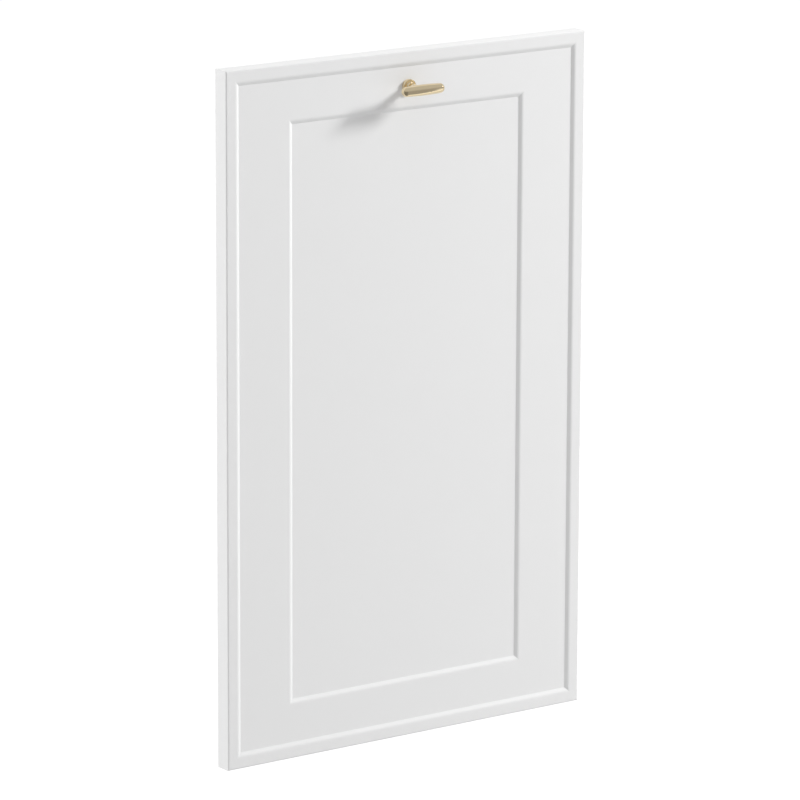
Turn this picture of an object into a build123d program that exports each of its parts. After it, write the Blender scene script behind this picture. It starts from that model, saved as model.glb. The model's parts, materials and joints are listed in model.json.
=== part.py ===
from build123d import *
import os

os.makedirs("parts", exist_ok=True)

# Front panel of a slimline built-in dishwasher: a milled and painted board with a brass T-bar knob.
# Millimetres. X runs across the front, -Y points out of the front, +Z points up.
# The origin is the centre of the flat rear face, which bears on the appliance's door.

# Board
panel_width = 446.0
panel_height = 716.0
panel_thickness = 19.0
border_width = 12.5
stile_width = 61.5
rail_width = 41.0
step_depth = 2.25
step_run = 4.0
front_edge_radius = 1.5
rear_edge_radius = 0.6
step_crest_radius = 5.0

# Knob
bar_length = 51.0
bar_diameter = 11.5
bar_end_diameter = 9.4
bar_end_radius = 4.8
knob_projection = 31.0
foot_diameter = 15.5
foot_thickness = 3.5
foot_edge_radius = 1.0
stem_diameter = 7.5
stem_root_radius = 2.0
shoulder_sink = 1.6
spigot_diameter = 4.6
spigot_length = 4.0
spigot_chamfer = 0.4

# Screw that holds the knob from behind the board, size M4 with a domed head and a cross recess
screw_diameter = 4.0
screw_length = 22.0
screw_point_chamfer = 0.6
head_diameter = 8.0
head_height = 3.0
head_edge_height = 1.0
recess_width = 1.1
recess_span = 4.2
recess_root_span = 1.9
recess_root_width = 0.7
recess_depth = 2.0
tapped_hole_extra_depth = 3.0

# Hole through the board for the knob's screw
screw_hole_clearance = 0.25
head_pocket_clearance = 0.5
head_pocket_depth = 4.6

# Pilot holes in the rear face for the screws of the appliance's door
pilot_diameter = 3.0
pilot_depth = 10.0
hook_hole_spacing_x = 284.0
hook_hole_spacing_z = 32.0
hook_holes_below_top = 116.0
door_screw_edge_distance = 14.0
door_screw_spacing_z = 480.0

# Clearances between pieces
spigot_clearance = 0.03
spigot_end_clearance = 0.3
shoulder_clearance = 0.05
thread_clearance = 0.05

# Places worked out from the sizes above
panel_top_z = panel_height / 2
rail_face_y = -(panel_thickness - step_depth)
rail_top_inset = border_width + step_run
knob_z = panel_top_z - rail_top_inset - rail_width / 2
bar_axis_y = rail_face_y - knob_projection + bar_diameter / 2
shoulder_reach = knob_projection - bar_diameter + shoulder_sink
screw_engagement = screw_length + head_pocket_depth - (panel_thickness - step_depth)
hook_holes_z = panel_top_z - hook_holes_below_top
door_screw_spacing_x = panel_width - 2 * door_screw_edge_distance


def front_plane(depth):
    return Plane(origin=(0, depth - panel_thickness, 0), x_dir=(1, 0, 0), z_dir=(0, -1, 0))


def rear_plane(height):
    return Plane(origin=(0, 0, height), x_dir=(1, 0, 0), z_dir=(0, 1, 0))


# The knob's pieces are turned about one line that runs out of the rail
knob_axis = Axis((0, rail_face_y, knob_z), (0, -1, 0))


def knob_plane(reach):
    return Plane(origin=(0, rail_face_y - reach, knob_z), x_dir=(1, 0, 0), z_dir=(0, -1, 0))


def turning_plane(start_y):
    return Plane(origin=(0, start_y, knob_z), x_dir=(1, 0, 0), z_dir=(0, 0, -1))


def is_ring(edge, diameter, reach):
    same_size = abs(edge.radius - diameter / 2) < 0.001
    return same_size and abs(edge.center().Y - (rail_face_y - reach)) < 0.001


# Board, one piece: a raised border, a flat frame one step lower and a centre field two steps lower
with BuildPart() as front_panel:
    with BuildSketch(rear_plane(0)):
        Rectangle(panel_width, panel_height)
    extrude(amount=-panel_thickness)
    frame_inset = border_width
    field_inset_x = border_width + step_run + stile_width
    field_inset_z = border_width + step_run + rail_width
    steps = [(frame_inset, frame_inset, 0), (field_inset_x, field_inset_z, step_depth)]
    for inset_x, inset_z, depth in steps:
        with BuildSketch(front_plane(depth)):
            Rectangle(panel_width - 2 * inset_x, panel_height - 2 * inset_z)
        with BuildSketch(front_plane(depth + step_depth)):
            Rectangle(panel_width - 2 * (inset_x + step_run), panel_height - 2 * (inset_z + step_run))
        loft(mode=Mode.SUBTRACT)
    flats = front_panel.faces().filter_by(Plane.XZ).sort_by(Axis.Y)
    border_face, frame_face = flats[0], flats[1]
    crest_edges = border_face.inner_wires()[0].edges() + frame_face.inner_wires()[0].edges()
    fillet(crest_edges, step_crest_radius)
    front_edges = front_panel.faces().sort_by(Axis.Y)[0].outer_wire().edges()
    fillet(front_edges, front_edge_radius)
    rear_edges = front_panel.faces().sort_by(Axis.Y)[-1].outer_wire().edges()
    fillet(rear_edges, rear_edge_radius)
    with Locations(rear_plane(knob_z)):
        CounterBoreHole(
            radius=screw_diameter / 2 + screw_hole_clearance,
            counter_bore_radius=head_diameter / 2 + head_pocket_clearance,
            counter_bore_depth=head_pocket_depth,
        )
    with Locations(rear_plane(hook_holes_z)):
        with GridLocations(hook_hole_spacing_x, hook_hole_spacing_z, 2, 2):
            Hole(pilot_diameter / 2, depth=pilot_depth)
    with Locations(rear_plane(0)):
        with GridLocations(door_screw_spacing_x, door_screw_spacing_z, 2, 2):
            Hole(pilot_diameter / 2, depth=pilot_depth)
front_panel.part.label = "front_panel"
export_step(front_panel.part, "parts/front_panel.step")


# Knob stem, one turned piece: foot, cove at the root, stem, and a spigot for the bar; tapped from the foot
with BuildPart() as knob_stem:
    with BuildSketch(turning_plane(rail_face_y)):
        with BuildLine():
            Polyline(
                (0, 0),
                (foot_diameter / 2, 0),
                (foot_diameter / 2, foot_thickness),
                (stem_diameter / 2, foot_thickness),
                (stem_diameter / 2, shoulder_reach),
                (spigot_diameter / 2, shoulder_reach),
                (spigot_diameter / 2, shoulder_reach + spigot_length),
                (0, shoulder_reach + spigot_length),
                close=True,
            )
        make_face()
    revolve(axis=knob_axis)
    circles = knob_stem.edges().filter_by(GeomType.CIRCLE)
    foot_rim = circles.filter_by(lambda edge: is_ring(edge, foot_diameter, foot_thickness))
    fillet(foot_rim, foot_edge_radius)
    stem_root = circles.filter_by(lambda edge: is_ring(edge, stem_diameter, foot_thickness))
    fillet(stem_root, stem_root_radius)
    spigot_tip = circles.filter_by(lambda edge: is_ring(edge, spigot_diameter, shoulder_reach + spigot_length))
    chamfer(spigot_tip, spigot_chamfer)
    with Locations(Plane(origin=(0, rail_face_y, knob_z), x_dir=(1, 0, 0), z_dir=(0, 1, 0))):
        Hole(screw_diameter / 2 + thread_clearance, depth=screw_engagement + tapped_hole_extra_depth)
knob_stem.part.label = "knob_stem"
export_step(knob_stem.part, "parts/knob_stem.step")

# Knob bar, one turned piece, a little thicker in the middle, with rounded ends and a socket for the stem
with BuildPart() as knob_bar:
    with BuildSketch(turning_plane(bar_axis_y)):
        with BuildLine():
            ThreePointArc(
                (-bar_length / 2, bar_end_diameter / 2),
                (0, bar_diameter / 2),
                (bar_length / 2, bar_end_diameter / 2),
            )
            Polyline(
                (bar_length / 2, bar_end_diameter / 2),
                (bar_length / 2, 0),
                (-bar_length / 2, 0),
                (-bar_length / 2, bar_end_diameter / 2),
            )
        make_face()
    revolve(axis=Axis((0, bar_axis_y, knob_z), (1, 0, 0)))
    end_rims = knob_bar.edges().filter_by(GeomType.CIRCLE)
    fillet(end_rims, bar_end_radius)
    with BuildSketch(knob_plane(knob_projection - bar_diameter)):
        Circle(stem_diameter / 2 + shoulder_clearance)
    extrude(amount=shoulder_sink, mode=Mode.SUBTRACT)
    with BuildSketch(knob_plane(shoulder_reach)):
        Circle(spigot_diameter / 2 + spigot_clearance)
    extrude(amount=spigot_length + spigot_end_clearance, mode=Mode.SUBTRACT)
knob_bar.part.label = "knob_bar"
export_step(knob_bar.part, "parts/knob_bar.step")

# Screw, driven from the rear: its head sits in the board's pocket and its shank reaches into the stem
with BuildPart() as knob_screw:
    with BuildSketch(turning_plane(-head_pocket_depth)):
        with BuildLine():
            EllipticalCenterArc(
                (0, -head_edge_height),
                head_diameter / 2,
                head_height - head_edge_height,
                start_angle=-90,
                arc_size=90,
            )
            Polyline(
                (head_diameter / 2, -head_edge_height),
                (head_diameter / 2, 0),
                (screw_diameter / 2, 0),
                (screw_diameter / 2, screw_length),
                (0, screw_length),
                (0, -head_height),
            )
        make_face()
    revolve(axis=knob_axis)
    screw_point = knob_screw.edges().filter_by(GeomType.CIRCLE).sort_by(Axis.Y)[0]
    chamfer(screw_point, screw_point_chamfer)
    head_top_y = -head_pocket_depth + head_height
    slots = [(recess_span, recess_width, 0), (recess_root_span, recess_root_width, recess_depth)]
    for span, width, depth in slots:
        with BuildSketch(Plane(origin=(0, head_top_y - depth, knob_z), x_dir=(1, 0, 0), z_dir=(0, -1, 0))):
            Rectangle(span, width)
            Rectangle(width, span)
    loft(mode=Mode.SUBTRACT)
knob_screw.part.label = "knob_screw"
export_step(knob_screw.part, "parts/knob_screw.step")
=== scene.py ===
import json
import math

import bpy
from mathutils import Matrix, Vector


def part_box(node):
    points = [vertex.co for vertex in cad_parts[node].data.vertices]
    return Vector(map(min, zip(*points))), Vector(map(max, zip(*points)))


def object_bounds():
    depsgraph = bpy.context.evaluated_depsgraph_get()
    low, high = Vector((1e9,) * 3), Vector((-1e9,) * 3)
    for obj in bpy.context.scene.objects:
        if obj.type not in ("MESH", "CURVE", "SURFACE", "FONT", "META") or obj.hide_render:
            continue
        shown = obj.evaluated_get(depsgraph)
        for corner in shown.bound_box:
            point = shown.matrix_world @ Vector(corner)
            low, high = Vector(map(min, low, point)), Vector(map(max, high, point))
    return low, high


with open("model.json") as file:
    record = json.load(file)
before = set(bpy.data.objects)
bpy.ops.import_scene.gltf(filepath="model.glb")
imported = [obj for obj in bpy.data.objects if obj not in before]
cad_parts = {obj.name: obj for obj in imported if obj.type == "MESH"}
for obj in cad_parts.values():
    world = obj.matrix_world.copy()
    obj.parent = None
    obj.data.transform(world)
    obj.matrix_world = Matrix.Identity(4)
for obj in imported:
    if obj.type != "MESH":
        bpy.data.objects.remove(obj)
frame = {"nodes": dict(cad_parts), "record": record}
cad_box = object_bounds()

nodes = frame["nodes"]


# Front board: medium density fibreboard, profiled in one piece on a router, sealed and sprayed all over with
# low satin white kitchen paint, which dries with a faint orange peel and spreads reflections to a soft sheen.
# The holes are drilled in the rear after painting, so they show bare brown board.

def linear_rgb(hex_colour):
    """Linear RGBA of an sRGB colour written as six hex digits."""
    channels = [int(hex_colour[i:i + 2], 16) / 255 for i in (0, 2, 4)]
    linear = [c / 12.92 if c <= 0.04045 else ((c + 0.055) / 1.055) ** 2.4 for c in channels]
    return (*linear, 1.0)


def new_material(name):
    """A node material with no nodes in it yet."""
    material = bpy.data.materials.new(name)
    material.use_nodes = True
    material.node_tree.nodes.clear()
    return material


def add_node(tree, kind, settings=None, inputs=None):
    """Adds a node, sets its properties, and sets or links each named input."""
    node = tree.nodes.new(kind)
    for name, value in (settings or {}).items():
        setattr(node, name, value)
    for name, value in (inputs or {}).items():
        if isinstance(value, bpy.types.NodeSocket):
            tree.links.new(value, node.inputs[name])
        else:
            node.inputs[name].default_value = value
    return node


paint_white = linear_rgb("EEEEEE")
paint_roughness = (0.62, 0.68)
peel_width = 0.0024
peel_relief = {"Strength": 0.06, "Distance": 0.0004}
paint_film = 0.00005
board_brown = linear_rgb("A98B66")
board_dark_brown = linear_rgb("8F7350")
fibre_width = 0.0006
drilled_depth = 0.0102
rim_allowance = 0.0001
pocket_radius = 0.0045

# Where bare board may show, as (across, height, radius). The material reads each place to the left and right
# and above and below the middle, and keeps under the paint film, so nothing shows where no hole is drilled.
screw_low, screw_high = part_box("knob_screw")
holes = {(0.0, (screw_low[2] + screw_high[2]) / 2, pocket_radius)}
for mount in frame["record"]["mounts"]:
    if mount["kind"] == "bolt_pattern":
        half_across = mount["dims"]["spacing_x_mm"] / 2000
        half_up = mount["dims"]["spacing_y_mm"] / 2000
        for height in (mount["pos_m"][2] - half_up, mount["pos_m"][2] + half_up):
            holes.add((half_across, abs(height), mount["dims"]["hole_r_mm"] / 1000))

paint = new_material("satin_white_paint_on_fibreboard")
tree = paint.node_tree
place = add_node(tree, "ShaderNodeTexCoord")
split = add_node(tree, "ShaderNodeSeparateXYZ", {}, {0: place.outputs["Object"]})
across = add_node(tree, "ShaderNodeMath", {"operation": "ABSOLUTE"}, {0: split.outputs["X"]})
upward = add_node(tree, "ShaderNodeMath", {"operation": "ABSOLUTE"}, {0: split.outputs["Z"]})
flat_place = add_node(tree, "ShaderNodeCombineXYZ", {}, {"X": across.outputs[0], "Z": upward.outputs[0]})
below_paint = add_node(tree, "ShaderNodeMath", {"operation": "LESS_THAN"}, {
    0: split.outputs["Y"], 1: -paint_film})
above_bottom = add_node(tree, "ShaderNodeMath", {"operation": "GREATER_THAN"}, {
    0: split.outputs["Y"], 1: -drilled_depth})
drilled = add_node(tree, "ShaderNodeMath", {"operation": "MULTIPLY"}, {
    0: below_paint.outputs[0], 1: above_bottom.outputs[0]})
in_hole = []
for across_hole, hole_height, radius in sorted(holes):
    reach = add_node(tree, "ShaderNodeVectorMath", {"operation": "DISTANCE"}, {
        0: flat_place.outputs[0], 1: (across_hole, 0.0, hole_height)})
    in_hole.append(add_node(tree, "ShaderNodeMath", {"operation": "LESS_THAN"}, {
        0: reach.outputs["Value"], 1: radius + rim_allowance}))
in_any = in_hole[0]
for inside in in_hole[1:]:
    in_any = add_node(tree, "ShaderNodeMath", {"operation": "MAXIMUM"}, {
        0: in_any.outputs[0], 1: inside.outputs[0]})
bare = add_node(tree, "ShaderNodeMath", {"operation": "MULTIPLY"}, {
    0: in_any.outputs[0], 1: drilled.outputs[0]})
peel = add_node(tree, "ShaderNodeTexNoise", {}, {
    "Vector": place.outputs["Object"], "Scale": 1 / peel_width, "Detail": 2.0})
fibre = add_node(tree, "ShaderNodeTexNoise", {}, {
    "Vector": place.outputs["Object"], "Scale": 1 / fibre_width, "Detail": 4.0})
relief = add_node(tree, "ShaderNodeBump", {}, {"Height": peel.outputs["Fac"], **peel_relief})
fibre_tone = add_node(tree, "ShaderNodeMix", {"data_type": "RGBA"}, {
    "Factor": fibre.outputs["Fac"], 6: board_dark_brown, 7: board_brown})
tone = add_node(tree, "ShaderNodeMix", {"data_type": "RGBA"}, {
    "Factor": bare.outputs[0], 6: paint_white, 7: fibre_tone.outputs[2]})
sheen = add_node(tree, "ShaderNodeMapRange", {}, {
    "Value": peel.outputs["Fac"], "To Min": paint_roughness[0], "To Max": paint_roughness[1]})
roughness = add_node(tree, "ShaderNodeMath", {"operation": "MAXIMUM"}, {
    0: sheen.outputs[0], 1: bare.outputs[0]})
shader = add_node(tree, "ShaderNodeBsdfPrincipled", {}, {
    "Base Color": tone.outputs[2],
    "Roughness": roughness.outputs[0],
    "Specular IOR Level": 0.3,
    "Normal": relief.outputs["Normal"],
})
add_node(tree, "ShaderNodeOutputMaterial", {}, {"Surface": shader.outputs["BSDF"]})
nodes["front_panel"].data.materials.clear()
nodes["front_panel"].data.materials.append(paint)


# Knob: a turned brass post and a turned brass bar, pressed together, polished to a fine satin and lacquered
# pale, so that it mirrors the room a little blurred. The last pass of the lathe leaves faint lines around
# each piece. They are drawn 0.4 mm apart, coarser than they are, so that they can show.

brass_colour = linear_rgb("F0DEBA")
brass_roughness = (0.07, 0.13)
line_spacing = 0.0004
line_relief = {"Strength": 0.1, "Distance": 0.00002}
line_stretch = 0.02


def turned_brass(name, turning_axis):
    """Satin brass with lathe lines square to the axis, which is a unit vector."""
    material = new_material(name)
    tree = material.node_tree
    place = add_node(tree, "ShaderNodeTexCoord")
    stretch = [1.0 if part else line_stretch for part in turning_axis]
    along = add_node(tree, "ShaderNodeMapping", {}, {"Vector": place.outputs["Object"], "Scale": stretch})
    lines = add_node(tree, "ShaderNodeTexNoise", {}, {
        "Vector": along.outputs[0], "Scale": 1 / line_spacing, "Detail": 3.0})
    relief = add_node(tree, "ShaderNodeBump", {}, {"Height": lines.outputs["Fac"], **line_relief})
    spread = add_node(tree, "ShaderNodeMapRange", {}, {
        "Value": lines.outputs["Fac"], "To Min": brass_roughness[0], "To Max": brass_roughness[1]})
    shader = add_node(tree, "ShaderNodeBsdfPrincipled", {}, {
        "Base Color": brass_colour,
        "Metallic": 1.0,
        "Roughness": spread.outputs[0],
        "Normal": relief.outputs["Normal"],
    })
    add_node(tree, "ShaderNodeOutputMaterial", {}, {"Surface": shader.outputs["BSDF"]})
    return material


stem_brass = turned_brass("satin_champagne_brass_stem", (0, 1, 0))
nodes["knob_stem"].data.materials.clear()
nodes["knob_stem"].data.materials.append(stem_brass)

bar_brass = turned_brass("satin_champagne_brass_bar", (1, 0, 0))
nodes["knob_bar"].data.materials.clear()
nodes["knob_bar"].data.materials.append(bar_brass)


# Knob screw: cold-headed steel, bright zinc plated, which leaves it bluish with a soft cloudy shine.
# It is driven into the stem from behind and is seen only in its pocket.

zinc_blue = linear_rgb("BFC4CB")
zinc_pale = linear_rgb("D6D8DA")
zinc_roughness = (0.22, 0.4)
cloud_width = 0.0014
zinc = new_material("bright_zinc_plated_steel")
tree = zinc.node_tree
place = add_node(tree, "ShaderNodeTexCoord")
cloud = add_node(tree, "ShaderNodeTexNoise", {}, {
    "Vector": place.outputs["Object"], "Scale": 1 / cloud_width, "Detail": 3.0})
tone = add_node(tree, "ShaderNodeMix", {"data_type": "RGBA"}, {
    "Factor": cloud.outputs["Fac"], 6: zinc_blue, 7: zinc_pale})
spread = add_node(tree, "ShaderNodeMapRange", {}, {
    "Value": cloud.outputs["Fac"], "To Min": zinc_roughness[0], "To Max": zinc_roughness[1]})
shader = add_node(tree, "ShaderNodeBsdfPrincipled", {}, {
    "Base Color": tone.outputs[2],
    "Metallic": 1.0,
    "Roughness": spread.outputs[0],
})
add_node(tree, "ShaderNodeOutputMaterial", {}, {"Surface": shader.outputs["BSDF"]})
nodes["knob_screw"].data.materials.clear()
nodes["knob_screw"].data.materials.append(zinc)


# Floor: pale and plain, a hand's width below the board, as under a fitted appliance. The camera and glass see
# it white, and it lights the board as pale grey paint. Gloss sees a painted reflection instead: the floor
# glows dim in front, white on the right and behind, and bright along a painted lane between the two, which
# draws the bright line along the knob's bar.

floor_drop = 0.10
floor_size = 40.0
floor_grey = linear_rgb("C5C5C5")
seen_grey = linear_rgb("7C7C7C")
seen_glow = 0.88
front_turns = (-0.3, 0.4)
lane_across = (0.764, 0.645, 0.0)
lane_starts = (0.12, 0.16)
lane_ends = (0.21, 0.28)
# Glow levels that only gloss sees, a painted reflection: dim in front, and brightest along the painted lane
# that draws the bar's line.
painted_floor_reflection = {"front_left": 0.22, "front_right": 0.38, "lane": 1.25, "right": 0.80}

bpy.ops.object.select_all(action="DESELECT")
bpy.ops.mesh.primitive_plane_add(size=floor_size, location=(0, 0, cad_box[0][2] - floor_drop))
floor = bpy.context.object
floor.name = "floor"
floor_paint = new_material("pale_floor")
tree = floor_paint.node_tree
place = add_node(tree, "ShaderNodeTexCoord")
reach = add_node(tree, "ShaderNodeVectorMath", {"operation": "DOT_PRODUCT"}, {
    0: place.outputs["Object"], 1: lane_across})
split = add_node(tree, "ShaderNodeSeparateXYZ", {}, {0: place.outputs["Object"]})
in_front = add_node(tree, "ShaderNodeMapRange", {"interpolation_type": "SMOOTHSTEP"}, {
    "Value": split.outputs["X"], "From Min": front_turns[0], "From Max": front_turns[1],
    "To Min": painted_floor_reflection["front_left"], "To Max": painted_floor_reflection["front_right"]})
onto_lane = add_node(tree, "ShaderNodeMapRange", {"interpolation_type": "SMOOTHSTEP"}, {
    "Value": reach.outputs["Value"], "From Min": lane_starts[0], "From Max": lane_starts[1],
    "To Min": in_front.outputs[0], "To Max": painted_floor_reflection["lane"]})
off_lane = add_node(tree, "ShaderNodeMapRange", {"interpolation_type": "SMOOTHSTEP"}, {
    "Value": reach.outputs["Value"], "From Min": lane_ends[0], "From Max": lane_ends[1],
    "To Min": onto_lane.outputs[0], "To Max": painted_floor_reflection["right"]})
path = add_node(tree, "ShaderNodeLightPath")
looked_at = add_node(tree, "ShaderNodeMath", {"operation": "MAXIMUM"}, {
    0: path.outputs["Is Camera Ray"], 1: path.outputs["Is Transmission Ray"]})
seen = add_node(tree, "ShaderNodeMath", {"operation": "MAXIMUM"}, {
    0: looked_at.outputs[0], 1: path.outputs["Is Glossy Ray"]})
# Camera and glass rays get the even white glow. Gloss rays get the painted reflection's glow levels from
# above.
glow_level = add_node(tree, "ShaderNodeMapRange", {}, {
    "Value": looked_at.outputs[0], "To Min": off_lane.outputs[0], "To Max": seen_glow})
matt = add_node(tree, "ShaderNodeBsdfDiffuse", {}, {"Color": floor_grey})
faint = add_node(tree, "ShaderNodeBsdfDiffuse", {}, {"Color": seen_grey})
glow = add_node(tree, "ShaderNodeEmission", {}, {"Strength": glow_level.outputs[0]})
dimmed = add_node(tree, "ShaderNodeMixShader", {}, {0: looked_at.outputs[0], 2: faint.outputs[0]})
white = add_node(tree, "ShaderNodeAddShader", {}, {0: dimmed.outputs[0], 1: glow.outputs[0]})
mix = add_node(tree, "ShaderNodeMixShader", {}, {0: seen.outputs[0], 1: matt.outputs[0], 2: white.outputs[0]})
add_node(tree, "ShaderNodeOutputMaterial", {}, {"Surface": mix.outputs[0]})
floor.data.materials.append(floor_paint)


# Studio room: a white backdrop behind the board, and a dimmer room in front of it that lights it more from
# the left. Metal sees that room dim below and paler above. The camera and glass see white.

backdrop = 0.88
backdrop_starts = (0.0, 0.5)
front_light = {"left": 0.71, "right": 0.33}
front_light_turns = (-0.5, 0.5)
front_in_gloss = {"left": 0.22, "right": 0.38, "high": 0.56}
front_rises = (0.0, 0.5)

world = bpy.data.worlds.new("studio")
bpy.context.scene.world = world
world.use_nodes = True
tree = world.node_tree
tree.nodes.clear()
place = add_node(tree, "ShaderNodeTexCoord")
split = add_node(tree, "ShaderNodeSeparateXYZ", {}, {0: place.outputs["Generated"]})
path = add_node(tree, "ShaderNodeLightPath")
looked_at = add_node(tree, "ShaderNodeMath", {"operation": "MAXIMUM"}, {
    0: path.outputs["Is Camera Ray"], 1: path.outputs["Is Transmission Ray"]})
soft_front = add_node(tree, "ShaderNodeMapRange", {"interpolation_type": "SMOOTHSTEP"}, {
    "Value": split.outputs["X"], "From Min": front_light_turns[0], "From Max": front_light_turns[1],
    "To Min": front_light["left"], "To Max": front_light["right"]})
low_front = add_node(tree, "ShaderNodeMapRange", {"interpolation_type": "SMOOTHSTEP"}, {
    "Value": split.outputs["X"], "From Min": front_turns[0], "From Max": front_turns[1],
    "To Min": front_in_gloss["left"], "To Max": front_in_gloss["right"]})
gloss_front = add_node(tree, "ShaderNodeMapRange", {"interpolation_type": "SMOOTHSTEP"}, {
    "Value": split.outputs["Z"], "From Min": front_rises[0], "From Max": front_rises[1],
    "To Min": low_front.outputs[0], "To Max": front_in_gloss["high"]})
front = add_node(tree, "ShaderNodeMapRange", {}, {
    "Value": path.outputs["Is Glossy Ray"],
    "To Min": soft_front.outputs[0], "To Max": gloss_front.outputs[0]})
all_round = add_node(tree, "ShaderNodeMapRange", {"interpolation_type": "SMOOTHSTEP"}, {
    "Value": split.outputs["Y"], "From Min": backdrop_starts[0], "From Max": backdrop_starts[1],
    "To Min": front.outputs[0], "To Max": backdrop})
level = add_node(tree, "ShaderNodeMath", {"operation": "MAXIMUM"}, {
    0: looked_at.outputs[0], 1: all_round.outputs[0]})
light = add_node(tree, "ShaderNodeBackground", {}, {"Color": (1, 1, 1, 1), "Strength": level.outputs[0]})
add_node(tree, "ShaderNodeOutputWorld", {}, {"Surface": light.outputs[0]})


# Lamps: a soft round key in front, high on the right, which throws the knob's shadow down to the left, and a
# large fill behind, on the left, which lights the board's edge. The key is two lamps: metal shows only the
# faint one, as a soft spot, where a bare key would burn to white.

key_way = (0.80, -0.404, 0.44)
key_aim = (0, 0, 0.2)
key_diameter = 0.95


def add_lamp(name, way, aim, distance, diameter, watts, in_gloss=True):
    """A round soft lamp that stands one way from the aim and shines back at it."""
    data = bpy.data.lights.new(name, "AREA")
    data.shape = "DISK"
    data.size = diameter
    data.energy = watts
    lamp = bpy.data.objects.new(name, data)
    bpy.context.scene.collection.objects.link(lamp)
    way = Vector(way).normalized()
    lamp.location = Vector(aim) + way * distance
    lamp.rotation_euler = way.to_track_quat("Z", "Y").to_euler()
    lamp.visible_camera = False
    lamp.visible_glossy = in_gloss


add_lamp("key", key_way, key_aim, distance=4.5, diameter=key_diameter, watts=167.0, in_gloss=False)
add_lamp("key_shine", key_way, key_aim, distance=4.4, diameter=key_diameter, watts=12.0)
add_lamp("left_fill", (-0.75, 0.62, 0.2), (0, 0, 0), distance=4.0, diameter=2.0, watts=62.0)


# Camera: a long lens, standing to the left of the board and a little above it, rolled slightly.
# It looks at the middle of the board's front, and the slide and lift set the board in the frame.

camera_yaw = math.radians(35.96)
camera_pitch = math.radians(13.05)
camera_roll = math.radians(0.213)
camera_distance = 5.508
camera_slide = -0.0085
camera_lift = -0.0024
focal_pixels = 5404.0
frame_pixels = 800.0
front_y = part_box("front_panel")[0][1]

look = Vector((
    math.sin(camera_yaw) * math.cos(camera_pitch),
    math.cos(camera_yaw) * math.cos(camera_pitch),
    -math.sin(camera_pitch),
))
side = Vector((math.cos(camera_yaw), -math.sin(camera_yaw), 0))
up = side.cross(look)
camera_data = bpy.data.cameras.new("camera")
camera_data.sensor_width = 36.0
camera_data.lens = camera_data.sensor_width * focal_pixels / frame_pixels
camera_data.clip_end = 100.0
camera = bpy.data.objects.new("camera", camera_data)
bpy.context.scene.collection.objects.link(camera)
turned_side = side * math.cos(camera_roll) + up * math.sin(camera_roll)
turned_up = up * math.cos(camera_roll) - side * math.sin(camera_roll)
axes = Matrix((turned_side, turned_up, -look)).transposed()
where = Vector((0, front_y, 0)) - look * camera_distance + side * camera_slide + up * camera_lift
camera.matrix_world = Matrix.Translation(where) @ axes.to_4x4()
bpy.context.scene.camera = camera

bpy.context.scene.view_settings.view_transform = "Standard"
